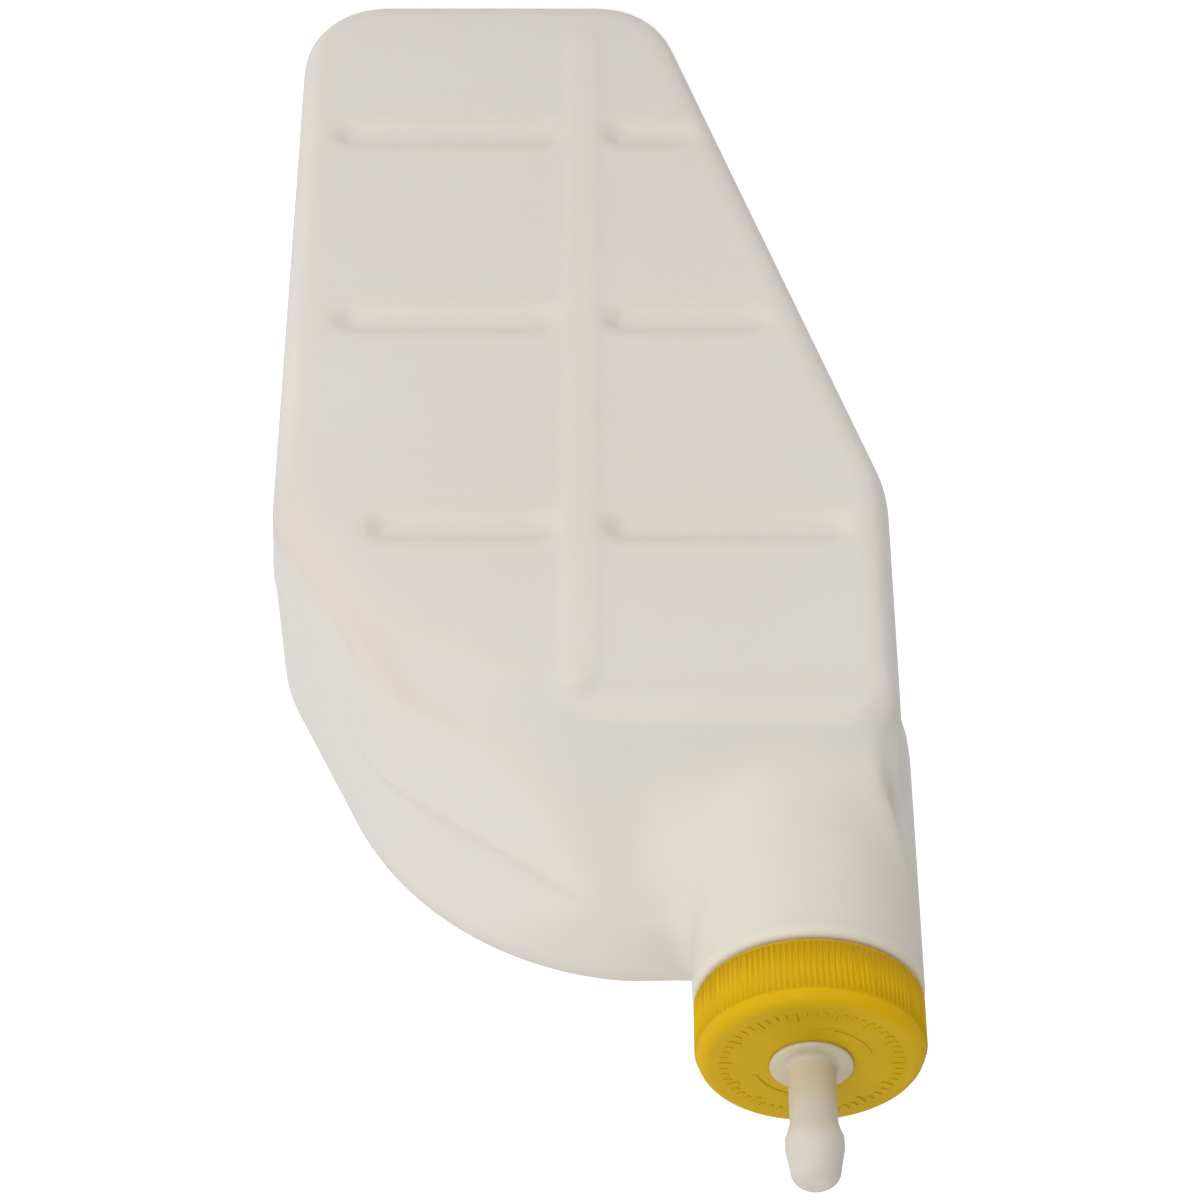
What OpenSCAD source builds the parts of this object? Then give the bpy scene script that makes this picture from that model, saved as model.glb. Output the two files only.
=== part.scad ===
// Coolant expansion tank: a flat blow-moulded tank with a screw neck at one side, a knurled
// screw cap, and a hose nipple that swivels in the cap.
// Z points up through the neck, and the broad front face looks towards -Y. The origin is the
// middle of the bounding box at the foot.

/* [Tank body] */
// Width between the two side walls, at the front face
body_w = 130.8; // [126:0.2:137]
// Depth from the front face to the rear face
body_d = 64; // [58:0.5:70]
// Thickness of the blown wall
wall_t = 2.2; // [1.6:0.1:2.8]
// Width of the foot, from the straight side to where the sloping side would meet it
foot_w = 82.8; // [76:0.2:90]
// Height at which the sloping side turns upright
knee_z = 151; // [144:0.5:156]
// How far each wall leans out from the front and rear faces to the seam
draft = 1.8; // [0.8:0.1:2.4]
// How far the moulding seam stands out
seam_out = 0.45; // [0.2:0.05:0.8]

/* [Tank edges] */
// Reach of the rounded edge across the front and rear faces, at the sides and foot
side_edge = 5.5; // [4:0.5:7]
// Reach of the rounded edge across the front and rear faces, along the leaning side of the shoulder
ridge_edge = 8; // [6:0.5:10]
// Reach of the rounded edge across the rear face, along the shoulder
top_edge = 10; // [8:0.5:12]
// Reach of the rounded edge back into the depth
edge_depth = 9; // [7:0.5:11]
// Radius of the two corners of the foot
foot_r = 19; // [16:0.5:22]
// Radius of the bend where the sloping side turns upright
knee_r = 34; // [24:1:40]

/* [Shoulder] */
// Height of the straight side, where the shoulder starts to lean over
side_z = 160; // [155:0.5:164]
// Height of the shoulder's front edge, where its rounding ends
front_top = 219; // [216:0.5:222]
// Rise of the shoulder for each length that it runs back from the front face
shoulder_rise = 1.2; // [0.8:0.1:1.4]
// Height of the shoulder along the seam
seam_top = 242.4; // [240:0.2:244]
// Height of the shoulder's rear edge
rear_top = 241; // [239:0.2:244]
// Radius of the shoulder's long rear curve
rear_r = 70; // [60:1:76]

/* [Neck] */
// Diameter of the tower that carries the neck
tower_d = 46.4; // [46:0.1:47.6]
// How far the tower stands out from the upright part of the neck side
tower_out = 3.5; // [2.8:0.1:4.2]
// How far the tower's base spreads over the shoulder
spread = 6; // [4:0.5:8]
// Height over which it spreads
spread_h = 15; // [10:1:20]
// Height of the ledge under the cap
ledge_z = 262.3; // [260:0.1:265]
// Outer diameter of the finish between its threads
finish_d = 35.6; // [35:0.1:36.2]
// Thickness of the finish's wall round the filling hole
finish_t = 2.4; // [2:0.1:3]

/* [Thread] */
// Rise of the thread in one turn
pitch = 4; // [3.8:0.1:4.4]
// Height of the neck's thread above the finish
thread_h = 1.7; // [1.5:0.05:1.9]
// Height of the thread's start above the ledge
thread_start = 2.2; // [1.8:0.1:2.6]
// Turns of thread on the neck
neck_turns = 1.25; // [1:0.05:1.35]
// Turns of thread in the cap
cap_turns = 1; // [0.7:0.05:1.1]

/* [Stiffening grooves] */
// Width of the grooves in the broad faces
groove_w = 11; // [8:0.5:13]
// Depth of the grooves
groove_d = 2.4; // [1.6:0.1:3]
// Height of the lowest grooves
low_groove_z = 46.5; // [42:0.5:52]
// Height of the middle grooves
middle_groove_z = 105; // [100:0.5:110]
// Height of the highest grooves
high_groove_z = 165; // [160:0.5:170]
// Width of the upright rib between the grooves
rib_w = 9; // [7:0.5:10]
// Height of that rib over the face
rib_h = 0.6; // [0.3:0.1:1]

/* [Cap] */
// Outer diameter of the cap over its knurling
cap_d = 46; // [45:0.1:46.2]
// Height of the cap
cap_h = 14.4; // [13.6:0.1:15]
// Gap between the cap's rim and the ledge
rim_gap = 0.6; // [0.4:0.1:1]
// Thickness of the cap's skirt under the knurling
skirt_t = 2; // [1.8:0.1:2.2]
// Thickness of the cap's top
roof_t = 2.2; // [1.8:0.1:2.6]
// Radius of the edge round the cap's top
cap_round = 2.6; // [2:0.1:3.2]
// Number of ribs in the knurling
knurl_n = 120; // [90:6:150]
// Depth of the knurling
knurl_h = 0.35; // [0.2:0.05:0.5]

/* [Nipple] */
// Outer diameter of the stem
stem_d = 9.5; // [9:0.1:10]
// Diameter over the barb
barb_d = 11.6; // [11.2:0.1:12.2]
// Diameter of the flange on the cap
flange_d = 16.6; // [15.5:0.1:18]
// Thickness of that flange
flange_t = 1; // [0.8:0.1:1.6]
// Height of the nipple above the flange
nipple_h = 26.6; // [26:0.1:32]
// Length of the barbed end, from the barb's lower edge to the tip
barb_length = 13.7; // [12.5:0.1:15]
// Diameter of the passage through the nipple
passage_d = 5.4; // [4.4:0.1:6]
// Length of the hose stub inside the cap, below the snap collar
stub_h = 10; // [7:0.5:13]
// Radial running clearance of the nipple in the cap
swivel_gap = 0.05; // [0.02:0.01:0.1]
// Thickness of the rubber seals
seal_t = 1.2; // [0.8:0.1:1.4]

/* [Hidden] */
$fn = 96;
bite = 0.3;
knurl_sink = 0.05;

half_w = (body_w + draft + seam_out + tower_out) / 2;
straight_x = half_w - draft - seam_out;
neck_x = straight_x - body_w;
foot_x = straight_x - foot_w;
half_d = body_d / 2;
tower_r = tower_d / 2;
tower_x = neck_x - tower_out + tower_r;

finish_r = finish_d / 2;
mouth_r = finish_r - finish_t;
thread_z = ledge_z + thread_start;
rim_z = ledge_z + rim_gap;
cap_top = rim_z + cap_h;
roof_z = cap_top - roof_t;
lip_z = roof_z - seal_t;
cap_r = cap_d / 2;
core_r = cap_r - knurl_h - knurl_sink;
spigot_r = stem_d / 2;
bore_r = core_r - skirt_t;

function unit(v) = v / norm(v);
function leftward(v) = [-v[1], v[0]];
function spin(v, a) = [v[0] * cos(a) - v[1] * sin(a), v[0] * sin(a) + v[1] * cos(a)];
function mixed(a, b, t) = a + (b - a) * t;

// Corners of the outline in X and Z, anticlockwise from the foot of the straight side.
// lean moves the upright walls outwards, and the foot stays level.
function corners(lean, side, bend, crest, top) = [
    [straight_x + lean, 0], [straight_x + lean, side], bend, [crest, top],
    [neck_x - lean, top], [neck_x - lean, knee_z], [foot_x - lean, 0]];
front_bend = [straight_x - 23, front_top - 18.5];
front_crest = straight_x - 58;
front_corners = corners(0, side_z, front_bend, front_crest, front_top);
seam_bend = [straight_x - 24, seam_top - 35.5];
seam_crest = straight_x - 73;
seam_corners = corners(draft, side_z - 2, seam_bend, seam_crest, seam_top);
// The rear shoulder is one long curve, so its two corners share the turn between them.
rear_lean = 65;
rear_side_z = side_z + 3.5;
rear_run = rear_r * tan(rear_lean / 4);
rear_meet = straight_x - (rear_top - rear_side_z) / tan(rear_lean);
rear_back = rear_r * tan(rear_lean / 2) - rear_run;
rear_bend = [rear_meet + rear_back * cos(rear_lean), rear_top - rear_back * sin(rear_lean)];
rear_corners = corners(0, rear_side_z, rear_bend, rear_meet - rear_back, rear_top);

// Radii of the corners of those outlines, and the steps that each one is drawn in.
neck_r = 13;
front_round = [foot_r, 20, 34, 50, neck_r, knee_r, foot_r];
seam_round = [foot_r, 60, 25, 26, neck_r, knee_r, foot_r];
rear_round = [foot_r, 32, rear_r, rear_r, neck_r, knee_r, foot_r];
outer_steps = [10, 4, 7, 8, 8, 4, 8];
inner_steps = [6, 3, 4, 5, 5, 3, 5];

// How far each wall of the outline steps in at the angle a round the edge of a broad face, which is
// 90 where the rounding ends. Along the front of the shoulder it ends in a slope, which is less at
// the bend.
crest_edge = side_edge - 2;
bend_share = 0.6;
function rear_steps(trim, a) = let (r = side_edge)
    [for (e = [r, ridge_edge, top_edge, top_edge, r, r, r]) trim + (e - trim) * (1 - sin(a))];
function front_steps(trim, a) = let (slope = shoulder_rise * (edge_depth - trim) * cos(a), r = side_edge)
    [for (e = [[r, 0], [ridge_edge, 0], [r, bend_share], [crest_edge, 1], [r, 0], [r, 0], [r, 0]])
        trim + (e[0] - trim) * (1 - sin(a)) + e[1] * slope];

// Where a corner goes when the wall before it moves in by d and the wall after it by e.
function moved_corner(a, b, c, d, e) = let (n = leftward(unit(b - a)), m = leftward(unit(c - b)), k = n * m)
    b + ((d - k * e) * n + (e - k * d) * m) / (1 - k * k);
function stepped_in(p, d) = let (n = len(p))
    [for (i = [0:n - 1]) moved_corner(p[(i + n - 1) % n], p[i], p[(i + 1) % n], d[(i + n - 1) % n], d[i])];

// Arc of radius r that rounds the corner b, as steps + 1 points.
function arc(a, b, c, r, steps) = let (u = unit(a - b), v = unit(c - b), half = acos(u * v) / 2,
    mid = b + unit(u + v) * r / sin(half), from = b + u * r / tan(half) - mid)
    [for (k = [0:steps]) mid + spin(from, (180 - 2 * half) * k / steps)];
function outline(p, r, steps) = let (n = len(p))
    [for (i = [0:n - 1]) each arc(p[(i + n - 1) % n], p[i], p[(i + 1) % n], r[i], steps[i])];

// One ring of the body: its depth, corners, radii and how far each wall is stepped in.
least_r = 2;
function ring(y, p, r, d, steps) = let (inner = stepped_in(p, d), n = len(p),
        inner_r = [for (i = [0:n - 1]) max(r[i] - max(d[i], d[(i + n - 1) % n]), least_r)])
    [for (q = outline(inner, inner_r, steps)) [q[0], y, q[1]]];

function loft_faces(rings, n) = concat(
    [[for (i = [0:n - 1]) n - 1 - i]],
    [for (r = [0:rings - 2], i = [0:n - 1]) let (j = (i + 1) % n)
        [r * n + i, r * n + j, (r + 1) * n + j, (r + 1) * n + i]],
    [[for (i = [0:n - 1]) (rings - 1) * n + i]]);

module loft(rings) {
    polyhedron([for (r = rings) each r], loft_faces(len(rings), len(rings[0])), convexity = 6);
}

// Rings from the front face to the rear face. trim is how far the whole form lies inside the
// outer skin, and seam is the height of the moulding seam on it. The bulge is the power by which
// the front of the shoulder swells over a straight slope.
bulge = 0.9;
seam_half = 0.45;
seam_room = 1;
rear_slope_steps = 2;
function body_rings(trim, seam, edge_steps, slope_steps, steps) =
    let (all = [for (i = [0:6]) trim], depth = edge_depth - trim, face = half_d - trim, flat = face - depth)
    concat(
        [for (k = [0:edge_steps]) let (a = 90 * k / edge_steps)
            ring(-flat - depth * cos(a), front_corners, front_round, front_steps(trim, a), steps)],
        [for (k = [1:slope_steps]) let (t = k / slope_steps, s = pow(t, bulge))
            ring(-flat + (flat - seam_room) * t, mixed(front_corners, seam_corners, s),
                mixed(front_round, seam_round, s), all, steps)],
        seam > 0 ? [for (y = [-seam_half, seam_half])
            ring(y, seam_raised(seam), seam_round, all, steps)] : [],
        [for (k = [0:rear_slope_steps]) let (t = k / rear_slope_steps)
            ring(seam_room + (flat - seam_room) * t, mixed(seam_corners, rear_corners, t),
                mixed(seam_round, rear_round, t), all, steps)],
        [for (k = [1:edge_steps]) let (a = 90 * k / edge_steps)
            ring(flat + depth * sin(a), rear_corners, rear_round, rear_steps(trim, 90 - a), steps)]);

// The seam stands out from the walls and the shoulder, and fades out at the level foot.
function seam_raised(out) = stepped_in(seam_corners, [-out, -out, -out, -out, -out, -out, 0]);

// One outline with round ends, each drawn in n steps, for the grooves and the rib.
function stadium(half_l, half_h, depth, n) =
    [for (side = [1, -1], k = [0:n]) let (a = 180 * k / n - side * 90)
        [side * (half_l - half_h) + half_h * cos(a), depth, half_h * sin(a)]];

// A groove with softly sloping walls and ends, sunk into the broad face that looks towards -Y.
// Each pair of its profile is a share of the width and a share of the depth.
groove_profile = [[1.04, -0.3], [0.8, 0.15], [0.5, 0.6], [0.15, 1]];
inner_profile = [[1.04, -0.3], [0.6, 0.45], [0.15, 1]];
module groove(length, grow, profile, n) {
    end_slope = 5;
    loft([for (q = profile)
        stadium(length / 2 - end_slope * (1 - q[0]) + grow, groove_w / 2 * q[0] + grow,
            groove_d * q[1] + grow, n)]);
}

// The grooves, each as its height and its two ends, with the rib's land left between them.
rib_x = 0.6;
land = 3.7;
grooves = [[low_groove_z, foot_x - 9.8, rib_x - land], [low_groove_z, rib_x + land, straight_x - 7.5],
    [middle_groove_z, foot_x - 25.5, rib_x - land], [middle_groove_z, rib_x + land, straight_x - 9.5],
    [high_groove_z, neck_x + 7.5, rib_x - land], [high_groove_z, rib_x + land, straight_x - 19]];
rib_ends = [10, front_top - 11];

module groove_grid(grow, profile, n) {
    translate([0, -half_d, 0])
        for (g = grooves)
            translate([(g[1] + g[2]) / 2, 0, g[0]]) groove(g[2] - g[1], grow, profile, n);
}

// The low rib that runs up the middle of the broad face that looks towards -Y.
module rib() {
    half = (rib_ends[1] - rib_ends[0]) / 2;
    end_slope = 6;
    translate([rib_x, -half_d, (rib_ends[0] + rib_ends[1]) / 2]) rotate([0, 90, 0])
        loft([for (q = [[0.45, -1], [0.7, -0.8], [0.9, -0.25], [1, 0.3]])
            stadium(half - end_slope * (1 - q[0]), rib_w / 2 * q[0], rib_h * q[1], 4)]);
}

// Thread ridge between two radii, rising with the pitch from the angle a0 to a1. It fades in and out.
module thread(root, crest, z, a0, a1, root_w, crest_w) {
    step = 10;
    fade = 3;
    n = ceil((a1 - a0) / step);
    rings = [for (k = [0:n]) let (a = mixed(a0, a1, k / n), lift = z + pitch * a / 360,
            full = min(1, k / fade, (n - k) / fade), tip = mixed(root, crest, 0.1 + 0.9 * full),
            near = min(root, tip), far = max(root, tip),
            w = crest > root ? [root_w, crest_w] : [crest_w, root_w])
        [for (q = [[near, -w[0]], [far, -w[1]], [far, w[1]], [near, w[0]]])
            [q[0] * cos(a), q[0] * sin(a), lift + q[1] / 2]]];
    loft(rings);
}

// Height of the shoulder over the neck, at the depth y.
function shelf_z(y) = let (flat = half_d - edge_depth, c = min((-flat - y) / edge_depth, 1))
    y < -flat ? front_top - crest_edge * (1 - sqrt(1 - c * c)) - shoulder_rise * edge_depth * c
    : y < 0 ? mixed(front_top, seam_top, pow((y + flat) / flat, bulge))
    : mixed(seam_top, rear_top, min(y / flat, 1));

// The base of the tower spreads in rings that follow the shoulder, and tucks in at the neck's side.
// A level ring closes it above, inside the tower, and another below, inside the body.
module spread_base(trim, squareness, side_tuck, steps, points) {
    inset = 0.6;
    crest_spread = 9;
    sink = 0.4;
    front_sink = 3;
    r = tower_r - inset - trim;
    high_z = seam_top + spread_h;
    low_z = front_top - 20;
    loft([for (k = [-1:steps + 1]) let (b = 90 * min(max(k, 0), steps) / steps, out = 1 - cos(b),
            power = 2 / (2 + squareness * sin(b)))
        [for (i = [0:points - 1]) let (a = 360 * i / points, c = cos(a), s = sin(a),
                across = c > 0 ? r + (crest_spread + inset) * out : r - side_tuck * out,
                along = r + (spread + inset) * out,
                foot = shelf_z((tower_r + spread) * s) - trim - sink - front_sink * max(-s, 0),
                top = shelf_z(tower_r * s) + spread_h - trim - bite,
                z = k < 0 ? high_z - trim : k > steps ? low_z : mixed(top, foot, sin(b)))
            [tower_x + across * sign(c) * pow(abs(c), power), along * sign(s) * pow(abs(s), power), z]]]);
}

module tower() {
    // Its foot swells out of the side wall in a quarter of an ellipse.
    swell_z = 190;
    swell_h = 15;
    swell = 5;
    edge = 1.2;
    translate([tower_x, 0, 0]) rotate_extrude()
        polygon(concat([[0, swell_z]],
            [for (a = [0:15:90]) [tower_r - swell * (1 - sin(a)), swell_z + swell_h * (1 - cos(a))]],
            [for (a = [0:30:90]) [tower_r - edge * (1 - cos(a)), ledge_z - edge * (1 - sin(a))]],
            [[0, ledge_z]]));
}

module tank() {
    deep_z = front_top - 14;
    color([0.9, 0.89, 0.86]) difference() {
        union() {
            loft(body_rings(0, seam_out, 6, 5, outer_steps));
            tower();
            spread_base(0, squareness = 1.2, side_tuck = 5, steps = 6, points = 48);
            rib();
            mirror([0, 1, 0]) rib();
            translate([tower_x, 0, ledge_z - bite]) cylinder(r = finish_r, h = lip_z - ledge_z + bite);
            translate([tower_x, 0, 0])
                thread(finish_r - bite, finish_r + thread_h, thread_z, 0, 360 * neck_turns,
                    root_w = 1.9, crest_w = 1);
        }
        difference() {
            union() {
                loft(body_rings(wall_t, 0, 4, 3, inner_steps));
                spread_base(wall_t, squareness = 0, side_tuck = 0.5, steps = 6, points = 48);
                translate([tower_x, 0, deep_z]) cylinder(r = tower_r - wall_t, h = ledge_z - wall_t - deep_z);
            }
            groove_grid(wall_t, inner_profile, 3);
            mirror([0, 1, 0]) groove_grid(wall_t, inner_profile, 3);
        }
        translate([tower_x, 0, ledge_z - wall_t - bite])
            cylinder(r = mouth_r, h = lip_z - ledge_z + wall_t + 2 * bite);
        groove_grid(0, groove_profile, 5);
        mirror([0, 1, 0]) groove_grid(0, groove_profile, 5);
    }
}

// The ribs stop short of the rim and of the rounded edge.
module knurling() {
    rib_gap = 0.8;
    translate([0, 0, rim_z + rib_gap]) linear_extrude(cap_h - cap_round - 1.5 * rib_gap)
        polygon([for (i = [0:2 * knurl_n - 1]) let (a = 180 * i / knurl_n, r = cap_r - knurl_h * (i % 2))
            [r * cos(a), r * sin(a)]]);
}

module cap() {
    chamfer = 0.4;
    grip = 0.5;
    color([0.9, 0.72, 0.05]) translate([tower_x, 0, 0]) {
        difference() {
            union() {
                rotate_extrude() polygon(concat(
                    [[0, rim_z], [core_r - chamfer, rim_z], [core_r, rim_z + chamfer]],
                    [for (a = [0:15:90])
                        [core_r - cap_round * (1 - cos(a)), cap_top - cap_round * (1 - sin(a))]],
                    [[0, cap_top]]));
                knurling();
            }
            translate([0, 0, rim_z - 1]) cylinder(r = bore_r, h = roof_z - rim_z + 1);
            translate([0, 0, roof_z - 1]) cylinder(r = spigot_r + swivel_gap, h = roof_t + 2);
        }
        thread(bore_r + bite, finish_r + grip, thread_z + pitch / 2, -120, 360 * cap_turns - 120,
            root_w = 1.5, crest_w = 0.8);
    }
}

module cap_gasket() {
    inside = 3;
    clearance = 0.3;
    color([0.15, 0.15, 0.16]) translate([tower_x, 0, lip_z]) difference() {
        cylinder(r = bore_r - clearance, h = seal_t);
        translate([0, 0, -1]) cylinder(r = mouth_r - inside, h = seal_t + 2);
    }
}

module nipple() {
    barb_r = barb_d / 2;
    tip_z = cap_top + flange_t + nipple_h;
    barb_z = tip_z - barb_length;
    land_z = barb_z + 3.3;
    land_h = 2.4;
    collar_z = roof_z - seal_t;
    collar_r = spigot_r + 1.5;
    stub_top = collar_z - 1.6;
    stub_z = stub_top - stub_h;
    chamfer = 0.3;
    fillet = 1.2;
    dome_r = 3.4;
    dome_z = tip_z - dome_r;
    tip_r = barb_r - 0.8;
    tip_t = 1.6;
    color([0.92, 0.91, 0.88]) translate([tower_x, 0, 0]) difference() {
        rotate_extrude() polygon(concat(
            [[0, stub_z], [spigot_r - 2 * chamfer, stub_z], [spigot_r - chamfer, stub_top],
                [collar_r - chamfer, stub_top], [collar_r, stub_top + chamfer], [collar_r, collar_z],
                [spigot_r, collar_z], [spigot_r, cap_top], [flange_d / 2, cap_top],
                [flange_d / 2, cap_top + flange_t - chamfer], [flange_d / 2 - chamfer, cap_top + flange_t]],
            [for (a = [0:15:90])
                [spigot_r + fillet * (1 - sin(a)), cap_top + flange_t + fillet * (1 - cos(a))]],
            [[spigot_r, barb_z], [barb_r - chamfer, land_z - 2 * chamfer], [barb_r, land_z],
                [barb_r, land_z + land_h], [tip_r, dome_z]],
            [for (a = [15:15:90]) [tip_r - dome_r * (1 - cos(a)), dome_z + dome_r * sin(a)]],
            [[0, tip_z]]));
        translate([0, 0, stub_z - 1]) cylinder(d = passage_d, h = tip_z - tip_t - stub_z + 1);
    }
}

module nipple_seal() {
    reach = 4;
    clearance = 0.1;
    color([0.15, 0.15, 0.16]) translate([tower_x, 0, roof_z - seal_t]) difference() {
        cylinder(r = spigot_r + reach, h = seal_t);
        translate([0, 0, -1]) cylinder(r = spigot_r + clearance, h = seal_t + 2);
    }
}

tank();
cap();
cap_gasket();
nipple();
nipple_seal();
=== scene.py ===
"""Looks of the coolant expansion tank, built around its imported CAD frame."""

import math

import bmesh
import bpy
from mathutils import Matrix, Vector
from mathutils.bvhtree import BVHTree


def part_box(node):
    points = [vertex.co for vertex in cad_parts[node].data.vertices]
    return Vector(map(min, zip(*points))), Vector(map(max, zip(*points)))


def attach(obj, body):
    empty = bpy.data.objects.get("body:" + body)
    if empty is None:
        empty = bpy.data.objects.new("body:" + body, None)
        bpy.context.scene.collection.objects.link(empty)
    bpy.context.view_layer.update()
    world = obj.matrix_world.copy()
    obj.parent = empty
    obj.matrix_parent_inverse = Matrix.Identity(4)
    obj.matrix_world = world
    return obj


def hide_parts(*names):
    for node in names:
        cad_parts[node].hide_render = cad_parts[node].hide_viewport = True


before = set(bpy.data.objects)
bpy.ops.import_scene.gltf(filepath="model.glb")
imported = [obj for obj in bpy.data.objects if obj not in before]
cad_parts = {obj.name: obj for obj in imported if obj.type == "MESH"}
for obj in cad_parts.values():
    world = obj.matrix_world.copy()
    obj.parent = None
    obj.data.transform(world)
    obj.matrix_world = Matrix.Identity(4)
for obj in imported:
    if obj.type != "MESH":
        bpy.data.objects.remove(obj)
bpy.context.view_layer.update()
MM = 0.001

# Places that the pieces share, read from the frame.
cap_low, cap_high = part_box("cap")
tank_low, tank_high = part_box("tank")
AXIS_X = (cap_low.x + cap_high.x) / 2
CAP_R = (cap_high.x - cap_low.x) / 2
CAP_TOP = cap_high.z
CAP_MIDDLE = (AXIS_X, 0, CAP_TOP)
TOWER_R = AXIS_X - tank_low.x
LEDGE_Z = cap_low.z - 0.6 * MM
KNEE_Z = 0.57 * LEDGE_Z
HALF_D = tank_high.y

CUT_Z = LEDGE_Z - 2.6 * MM  # the soft skin ends here and the CAD neck goes on
VOXEL = 1.2 * MM
WELD = 0.00001
RELAX_ROUNDS = 14

NOISE = (0.3, 0.7)  # most of a noise texture's values lie between these
MIX_A, MIX_B, MIX_OUT = 6, 7, 2  # the colour sockets of a Mix node
WHITE = (1, 1, 1, 1)

CAMERA_AT = Vector((-0.00353, -0.6325, 0.684))
CAMERA_PITCH = math.radians(39.7)
CAMERA_LENS, CAMERA_SENSOR = 114.0, 36.0
WORLD_LIGHT = 0.48
FLOOR_HALF, FLOOR_GLOW = 3.0, 0.55


class Nodes:
    """A material's node tree, with short calls for its nodes."""

    def __init__(self, name):
        self.mat = bpy.data.materials.new(name)
        self.mat.use_nodes = True
        self.tree = self.mat.node_tree
        self.shader = self.tree.nodes["Principled BSDF"]

    def add(self, kind, **values):
        node = self.tree.nodes.new(kind)
        for key, value in values.items():
            if hasattr(node, key):
                setattr(node, key, value)
            else:
                node.inputs[key.replace("_", " ")].default_value = value
        return node

    def link(self, a, out, b, into):
        self.tree.links.new(a.outputs[out], b.inputs[into])

    def noise(self, scale, detail=3.0, rough=0.5, stretch=None):
        place = self.add("ShaderNodeTexCoord")
        node = self.add("ShaderNodeTexNoise", Scale=scale, Detail=detail, Roughness=rough)
        if stretch is None:
            self.link(place, "Object", node, "Vector")
        else:
            mapped = self.add("ShaderNodeMapping")
            mapped.inputs["Scale"].default_value = stretch
            self.link(place, "Object", mapped, "Vector")
            self.link(mapped, "Vector", node, "Vector")
        return node

    def ramp(self, source, low, high, a=0.0, b=1.0, out=0, **kind):
        """From a to b while the source's output goes from low to high."""
        node = self.add("ShaderNodeMapRange", **kind)
        for name, value in (("From Min", low), ("From Max", high), ("To Min", a), ("To Max", b)):
            node.inputs[name].default_value = value
        self.link(source, out, node, "Value")
        return node

    def tint(self, noise, a, b):
        """From colour a to colour b over the noise."""
        node = self.add("ShaderNodeMix", data_type="RGBA")
        self.link(self.ramp(noise, *NOISE), 0, node, 0)
        node.inputs[MIX_A].default_value = (*a, 1)
        node.inputs[MIX_B].default_value = (*b, 1)
        return node

    def mask(self, name, low, high):
        """0 to 1 over the given stretch of a value kept on the mesh's points."""
        node = self.add("ShaderNodeAttribute", attribute_name=name)
        return self.ramp(node, low, high, out="Fac", interpolation_type="SMOOTHSTEP")

    def near(self, point, low, high):
        """1 within low of the point, falling to 0 at high."""
        place = self.add("ShaderNodeTexCoord")
        away = self.add("ShaderNodeVectorMath", operation="DISTANCE")
        away.inputs[1].default_value = point
        self.link(place, "Object", away, 0)
        return self.ramp(away, low, high, 1.0, 0.0, out="Value", interpolation_type="SMOOTHSTEP")

    def over(self, colour, share, tone):
        """The colour, multiplied by the tone where the share is 1."""
        node = self.add("ShaderNodeMix", data_type="RGBA", blend_type="MULTIPLY")
        self.link(share, 0, node, 0)
        self.link(colour, MIX_OUT, node, MIX_A)
        node.inputs[MIX_B].default_value = (*tone, 1)
        return node

    def bump(self, heights):
        """Bumps on the shader's normal, each a source with its strength and distance."""
        last = None
        for source, strength, distance in heights:
            node = self.add("ShaderNodeBump", Strength=strength, Distance=distance)
            self.link(source, 0, node, "Height")
            if last is not None:
                self.link(last, "Normal", node, "Normal")
            last = node
        self.link(last, "Normal", self.shader, "Normal")

    def surface(self, colour, rough_noise, smoothest, roughest, heights):
        """Feeds the shader its colour, roughness and bumps."""
        self.link(colour, MIX_OUT, self.shader, "Base Color")
        self.link(self.ramp(rough_noise, *NOISE, smoothest, roughest), 0, self.shader, "Roughness")
        self.bump(heights)

    def set(self, **values):
        for key, value in values.items():
            self.shader.inputs[key.replace("_", " ")].default_value = value


def tank_plastic():
    """Milky polyethylene, with painted shade that makes it darker and warmer at its edges and round
    the tower's base, and a painted yellow reflection of the cap.
    """
    m = Nodes("tank_plastic")
    cloud = m.noise(9.0, 2.0)
    flow = m.noise(26.0, 3.0, 0.55, (1.0, 1.0, 0.35))
    grain = m.noise(1500.0, 2.0)
    ripple = m.noise(60.0, 2.0, 0.45)
    colour = m.tint(cloud, (0.740, 0.700, 0.640), (0.770, 0.735, 0.680))
    # Painted shade: darker and warmer along the shoulder's ridge, on the side away from the neck.
    colour = m.over(colour, m.mask("ridge", 0.0, 0.55), (0.975, 0.935, 0.91))
    # Painted shade: a little darker and warmer on every outward bend of the skin.
    colour = m.over(colour, m.mask("edge", 0.15, 0.80), (0.985, 0.97, 0.955))
    # Painted shade: darker in the hollow round the tower's base.
    colour = m.over(colour, m.mask("hollow_shade", 0.0, 0.6), (0.92, 0.91, 0.90))
    # Painted reflection: the cap's yellow on the tank close to the cap.
    colour = m.over(colour, m.near(CAP_MIDDLE, 0.020, 0.085), (0.97, 0.955, 0.88))
    m.surface(colour, flow, 0.42, 0.52, [(ripple, 0.10, 0.0008), (grain, 0.12, 0.00004)])
    m.set(Subsurface_Weight=0.35, Subsurface_Radius=(1.0, 0.92, 0.78), Subsurface_Scale=0.006,
          Specular_IOR_Level=0.35, IOR=1.5)
    return m.mat


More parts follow.
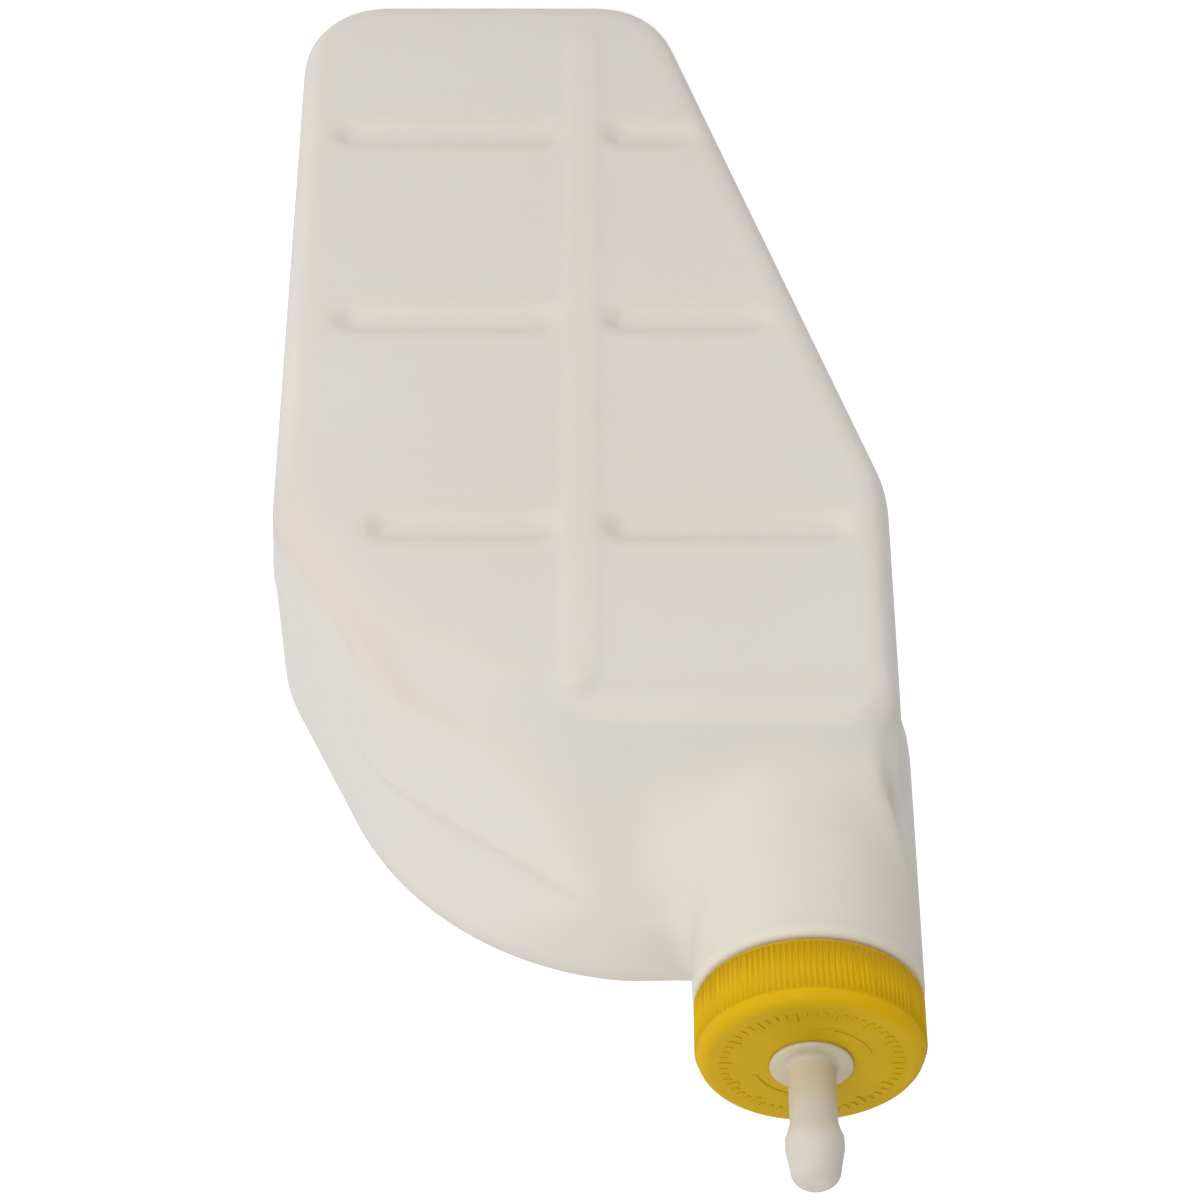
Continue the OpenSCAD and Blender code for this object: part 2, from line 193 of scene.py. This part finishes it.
def cap_plastic():
    """Yellow polypropylene, with painted shade that makes its top a little darker and less yellow than
    its knurled side.
    """
    m = Nodes("cap_plastic")
    cloud = m.noise(40.0, 2.0)
    grain = m.noise(2200.0, 2.0)
    colour = m.tint(cloud, (0.69, 0.415, 0.0005), (0.75, 0.455, 0.001))
    # Painted shade: darker and less yellow over the cap's top.
    colour = m.over(colour, m.near(CAP_MIDDLE, CAP_R * 0.86, CAP_R * 0.98), (0.87, 0.92, 1.0))
    m.surface(colour, cloud, 0.52, 0.62, [(grain, 0.15, 0.00004)])
    m.set(Subsurface_Weight=0.10, Subsurface_Radius=(1.0, 0.6, 0.05), Subsurface_Scale=0.002,
          Specular_IOR_Level=0.12, IOR=1.5)
    return m.mat


def nipple_plastic():
    """Natural white plastic, with a painted yellow reflection of the cap low down."""
    m = Nodes("nipple_plastic")
    cloud = m.noise(70.0, 2.0)
    grain = m.noise(2500.0, 2.0)
    colour = m.tint(cloud, (0.635, 0.585, 0.51), (0.685, 0.64, 0.565))
    # Painted reflection: the cap's yellow on the nipple's low part.
    colour = m.over(colour, m.near(CAP_MIDDLE, 0.007, 0.016), (0.91, 0.86, 0.71))
    m.surface(colour, cloud, 0.42, 0.52, [(grain, 0.12, 0.00003)])
    m.set(Subsurface_Weight=0.35, Subsurface_Radius=(1.0, 0.9, 0.75), Subsurface_Scale=0.003,
          Specular_IOR_Level=0.35, IOR=1.5)
    return m.mat


def seal_rubber():
    """Matt black rubber with a fine grain."""
    m = Nodes("seal_rubber")
    grain = m.noise(1400.0, 3.0)
    colour = m.tint(grain, (0.018, 0.018, 0.019), (0.030, 0.030, 0.031))
    m.surface(colour, grain, 0.62, 0.78, [(grain, 0.2, 0.00005)])
    return m.mat


TANK, CAP, NIPPLE, RUBBER = tank_plastic(), cap_plastic(), nipple_plastic(), seal_rubber()


def linked(name, data):
    """A new object of the data, in the scene."""
    obj = bpy.data.objects.new(name, data)
    bpy.context.scene.collection.objects.link(obj)
    return obj


def put(name, bm, material, body, smooth_angle):
    """Makes an object of the bmesh, smooth but for edges sharper than the angle, riding on body."""
    mesh = bpy.data.meshes.new(name)
    bm.normal_update()
    bm.to_mesh(mesh)
    bm.free()
    mesh.materials.append(material)
    for p in mesh.polygons:
        p.use_smooth = True
        p.material_index = 0
    mesh.set_sharp_from_angle(angle=math.radians(smooth_angle))
    obj = linked(name, mesh)
    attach(obj, body)
    return obj


def cad_mesh(node):
    """The node's CAD mesh with its double points welded."""
    bm = bmesh.new()
    bm.from_mesh(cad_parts[node].data)
    bmesh.ops.remove_doubles(bm, verts=bm.verts, dist=WELD)
    return bm


def applied(obj):
    """The object's mesh after its modifiers, and the object is removed."""
    graph = bpy.context.evaluated_depsgraph_get()
    mesh = bpy.data.meshes.new_from_object(obj.evaluated_get(graph))
    bpy.data.objects.remove(obj)
    return mesh


def islands(bm):
    """The mesh's points in groups that no edge joins."""
    seen, found = set(), []
    for first in bm.verts:
        if first in seen:
            continue
        group, queue = [], [first]
        seen.add(first)
        while queue:
            v = queue.pop()
            group.append(v)
            for e in v.link_edges:
                w = e.other_vert(v)
                if w not in seen:
                    seen.add(w)
                    queue.append(w)
        found.append(group)
    return found


def tank_outside():
    """The tank's outer form as a fine, even skin: its CAD mesh with the neck plugged, remeshed."""
    bm = cad_mesh("tank")
    plug_r, plug_h = TOWER_R - 0.8 * MM, 20 * MM
    plug_low = LEDGE_Z - 9 * MM
    bmesh.ops.create_cone(bm, cap_ends=True, segments=96, radius1=plug_r, radius2=plug_r, depth=plug_h,
                          matrix=Matrix.Translation((AXIS_X, 0, plug_low + plug_h / 2)))
    mesh = bpy.data.meshes.new("skin_source")
    bm.to_mesh(mesh)
    bm.free()
    obj = linked("skin_source", mesh)
    remesh = obj.modifiers.new("remesh", "REMESH")
    remesh.mode = "VOXEL"
    remesh.voxel_size = VOXEL
    raw = applied(obj)
    bm = bmesh.new()
    bm.from_mesh(raw)
    outer = set(max(islands(bm), key=lambda g: max(v.co.x for v in g) - min(v.co.x for v in g)))
    bmesh.ops.delete(bm, geom=[v for v in bm.verts if v not in outer], context="VERTS")
    return bm


def cut_level(bm, clear_above):
    """Cuts the mesh at CUT_Z, and drops what is above it if asked."""
    bmesh.ops.bisect_plane(bm, geom=bm.verts[:] + bm.edges[:] + bm.faces[:],
                           plane_co=(0, 0, CUT_Z), plane_no=(0, 0, 1), clear_outer=clear_above)


def neck_and_inside(skin):
    """The tank's CAD mesh without the outer faces below CUT_Z, which the skin stands for."""
    outside = 1.25 * MM
    tree = BVHTree.FromBMesh(skin)
    bm = cad_mesh("tank")
    cut_level(bm, False)
    gone = []
    for f in bm.faces:
        c = f.calc_center_median()
        if c.z < CUT_Z and tree.find_nearest(c)[3] < outside:
            gone.append(f)
    bmesh.ops.delete(bm, geom=gone, context="FACES")
    return bm


def step(value, low, high):
    """0 up to low and 1 from high, with a soft rise between them."""
    t = max(0.0, min(1.0, (value - low) / (high - low)))
    return t * t * (3 - 2 * t)


def pull(v):
    """The way from the point to the middle of its neighbours."""
    return sum((e.other_vert(v).co for e in v.link_edges), Vector()) / len(v.link_edges) - v.co


def relax(bm):
    """Smooths the skin with a step out for each step in, so that it doesn't shrink."""
    for _ in range(RELAX_ROUNDS):
        for factor in (0.5, -0.52):
            for v, d in [(v, pull(v)) for v in bm.verts]:
                v.co += d * factor


def blend(bm):
    """Softens the skin where the tower flows into the shoulder."""
    low, high = LEDGE_Z - 55 * MM, LEDGE_Z - 12 * MM
    reach = 46 * MM
    fade_low, fade_high, fade_out = 8 * MM, 12 * MM, 10 * MM
    rounds = 45
    shares = {}
    for v in bm.verts:
        away = math.hypot(v.co.x - AXIS_X, v.co.y)
        if low < v.co.z < high and away < reach:
            up = min(1.0, (v.co.z - low) / fade_low, (high - v.co.z) / fade_high)
            across = step(v.co.x, AXIS_X - 0.9 * TOWER_R, AXIS_X - 0.1 * TOWER_R)
            shares[v] = up * across * min(1.0, (reach - away) / fade_out)
    for _ in range(rounds):
        for v, d in [(v, pull(v)) for v in shares]:
            v.co += d * 0.5 * shares[v]


def spread_out(values, rounds):
    """Averages the values of the points with those of their neighbours."""
    for _ in range(rounds):
        values = {v: 0.5 * b + 0.5 * sum(values[e.other_vert(v)] for e in v.link_edges)
                  / len(v.link_edges) for v, b in values.items()}
    return values


def bends(bm):
    """How much the skin bends at each point, from 0 to 1, kept as masks for painted shade: outwards
    all over, outwards along the shoulder's ridge on the side away from the neck, where the wall is
    thinnest, and inwards round the tower's base, where it is thickest."""
    edge = bm.verts.layers.float.new("edge")
    ridge = bm.verts.layers.float.new("ridge")
    hollow_shade = bm.verts.layers.float.new("hollow_shade")
    bm.normal_update()
    bend = spread_out({v: -pull(v).dot(v.normal) for v in bm.verts}, 6)
    full_bend = 0.045 * MM
    along, around = {}, {}
    for v, b in bend.items():
        v[edge] = max(0.0, min(1.0, b / full_bend))
        above = step(v.co.z, KNEE_Z - 25 * MM, KNEE_Z + 10 * MM)
        behind = step(v.co.y, 0.4 * MM - HALF_D, 2.5 * MM - HALF_D)
        away = step(v.co.x, -20 * MM, 25 * MM)
        along[v] = v[edge] * above * behind * away * step(-v.co.y, 0, 15 * MM)
        tower = step(v.co.z, LEDGE_Z - 60 * MM, LEDGE_Z - 45 * MM)
        around[v] = max(0.0, min(1.0, -b / full_bend)) * tower
    for v, b in spread_out(along, 12).items():
        v[ridge] = b
    for v, b in spread_out(around, 12).items():
        v[hollow_shade] = b


def true_tower(bm):
    """Brings the top of the tower back out to its round CAD wall, which relaxing draws in."""
    depth, fade, slack = 14 * MM, 6 * MM, 0.5 * MM
    for v in bm.verts:
        if v.co.z > LEDGE_Z - depth:
            share = min(1.0, (v.co.z - LEDGE_Z + depth) / fade)
            d = Vector((v.co.x - AXIS_X, v.co.y))
            if d.length > TOWER_R - slack:
                d = d * (1 + share * (TOWER_R / d.length - 1))
                v.co.x, v.co.y = AXIS_X + d.x, d.y


def whole_tank():
    """The tank's soft skin over its CAD neck and inside, as one mesh."""
    skin = tank_outside()
    bm = neck_and_inside(skin)
    relax(skin)
    blend(skin)
    bends(skin)
    true_tower(skin)
    cut_level(skin, True)
    shell = bpy.data.meshes.new("shell")
    skin.to_mesh(shell)
    skin.free()
    bm.from_mesh(shell)
    return bm


def prism(bm, outline, low, high):
    """Adds an upright prism on the outline, given anticlockwise."""
    feet = [bm.verts.new((x, y, low)) for x, y in outline]
    tops = [bm.verts.new((x, y, high)) for x, y in outline]
    bm.faces.new(tops)
    bm.faces.new(feet[::-1])
    for i in range(len(outline)):
        j = (i + 1) % len(outline)
        bm.faces.new((feet[i], feet[j], tops[j], tops[i]))


def polar(r, a):
    """A place about the cap's axis, seen from above."""
    return AXIS_X + r * math.cos(a), r * math.sin(a)


def cap_marks():
    """A raised ring of ticks on the cap's top, and two plain arrows that turn with it."""
    bm = bmesh.new()
    low, high = CAP_TOP - 0.1 * MM, CAP_TOP + 0.22 * MM
    ticks, long_each = 56, 4
    outer, half_width = 18.2 * MM, 0.32 * MM
    long_tick, short_tick = 2.6 * MM, 1.5 * MM
    for k in range(ticks):
        a = 2 * math.pi * k / ticks
        inner = outer - (long_tick if k % long_each == 0 else short_tick)
        prism(bm, [polar(inner, a - half_width / inner), polar(outer, a - half_width / outer),
                   polar(outer, a + half_width / outer), polar(inner, a + half_width / inner)],
              low, high)
    first, steps, sweep, head = 0.35, 12, 0.9, 0.28
    near, far, wing = 11.4 * MM, 12.4 * MM, 0.9 * MM
    for start in (first, first + math.pi):
        along = [start + sweep * k / steps for k in range(steps + 1)]
        end = along[-1]
        tip = [polar(far + wing, end), polar((near + far) / 2, end + head), polar(near - wing, end)]
        prism(bm, [polar(far, a) for a in along] + tip + [polar(near, a) for a in reversed(along)],
              low, high)
    return bm


tank = put("tank_shell", whole_tank(), TANK, "tank", 38.0)
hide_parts("tank")
cap = put("cap_shell", cad_mesh("cap"), CAP, "cap", 30.0)
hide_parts("cap")
put("cap_marks", cap_marks(), CAP, "cap", 30.0)
nipple = put("nipple_body", cad_mesh("nipple"), NIPPLE, "nipple", 40.0)
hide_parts("nipple")

for node in ("cap_gasket", "nipple_seal"):
    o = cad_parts[node]
    o.data.materials.clear()
    o.data.materials.append(RUBBER)


def area(name, at, towards, size, watts):
    """A rectangular light."""
    light = bpy.data.lights.new(name, "AREA")
    light.shape = "RECTANGLE"
    light.size, light.size_y = size
    light.energy = watts
    obj = linked(name, light)
    obj.location = at
    obj.rotation_euler = (Vector(towards) - Vector(at)).to_track_quat("-Z", "Y").to_euler()


def ranged(tree, source, low, high, into):
    """Feeds the socket a value that goes from low to high as the source goes from 0 to 1."""
    node = tree.nodes.new("ShaderNodeMapRange")
    node.inputs["To Min"].default_value = low
    node.inputs["To Max"].default_value = high
    tree.links.new(source, node.inputs["Value"])
    tree.links.new(node.outputs[0], into)


def photo_camera():
    """The photo's camera, rolled half a turn, because the photo shows the tank upside down."""
    ahead = Vector((0, math.cos(CAMERA_PITCH), -math.sin(CAMERA_PITCH)))
    up = -Vector((0, math.sin(CAMERA_PITCH), math.cos(CAMERA_PITCH)))
    right = ahead.cross(up)
    data = bpy.data.cameras.new("camera")
    data.lens = CAMERA_LENS
    data.sensor_width = CAMERA_SENSOR
    data.clip_start, data.clip_end = 0.05, 50
    camera = linked("camera", data)
    turn = Matrix((right, up, -ahead)).transposed().to_4x4()
    camera.matrix_world = Matrix.Translation(CAMERA_AT) @ turn
    bpy.context.scene.camera = camera


def white_world():
    """White to the camera, also through clear things, and dimmer as a light."""
    world = bpy.data.worlds.new("world")
    world.use_nodes = True
    bpy.context.scene.world = world
    tree = world.node_tree
    background = tree.nodes["Background"]
    path = tree.nodes.new("ShaderNodeLightPath")
    most = tree.nodes.new("ShaderNodeMath")
    most.operation = "MAXIMUM"
    tree.links.new(path.outputs["Is Camera Ray"], most.inputs[0])
    tree.links.new(path.outputs["Is Transmission Ray"], most.inputs[1])
    ranged(tree, most.outputs[0], WORLD_LIGHT, 1.0, background.inputs["Strength"])
    background.inputs["Color"].default_value = WHITE


def white_floor():
    """A floor that keeps the shadow and looks white to the camera."""
    mesh = bpy.data.meshes.new("floor")
    corners = [(-1, -1), (1, -1), (1, 1), (-1, 1)]
    mesh.from_pydata([(x * FLOOR_HALF, y * FLOOR_HALF, 0) for x, y in corners], [], [(0, 1, 2, 3)])
    floor = linked("floor", mesh)
    mat = bpy.data.materials.new("floor")
    mat.use_nodes = True
    tree = mat.node_tree
    shader = tree.nodes["Principled BSDF"]
    shader.inputs["Base Color"].default_value = (0.86, 0.86, 0.86, 1)
    shader.inputs["Roughness"].default_value = 0.9
    shader.inputs["Specular IOR Level"].default_value = 0.0
    shader.inputs["Emission Color"].default_value = WHITE
    path = tree.nodes.new("ShaderNodeLightPath")
    ranged(tree, path.outputs["Is Camera Ray"], 0.0, FLOOR_GLOW, shader.inputs["Emission Strength"])
    mesh.materials.append(mat)


def studio():
    """The camera, surroundings and lights of the photo."""
    bpy.context.scene.view_settings.view_transform = "Standard"
    photo_camera()
    white_world()
    white_floor()
    area("key", (0.42, -1.02, 0.72), (0, 0, 0.15), (1.2, 1.2), 8.0)
    area("side", (1.1, 0.3, 0.6), (0, 0, 0.12), (0.8, 0.8), 2.6)
    area("back", (-0.1, 1.1, 1.4), (0, 0, 0.2), (1.2, 0.8), 6.0)


studio()
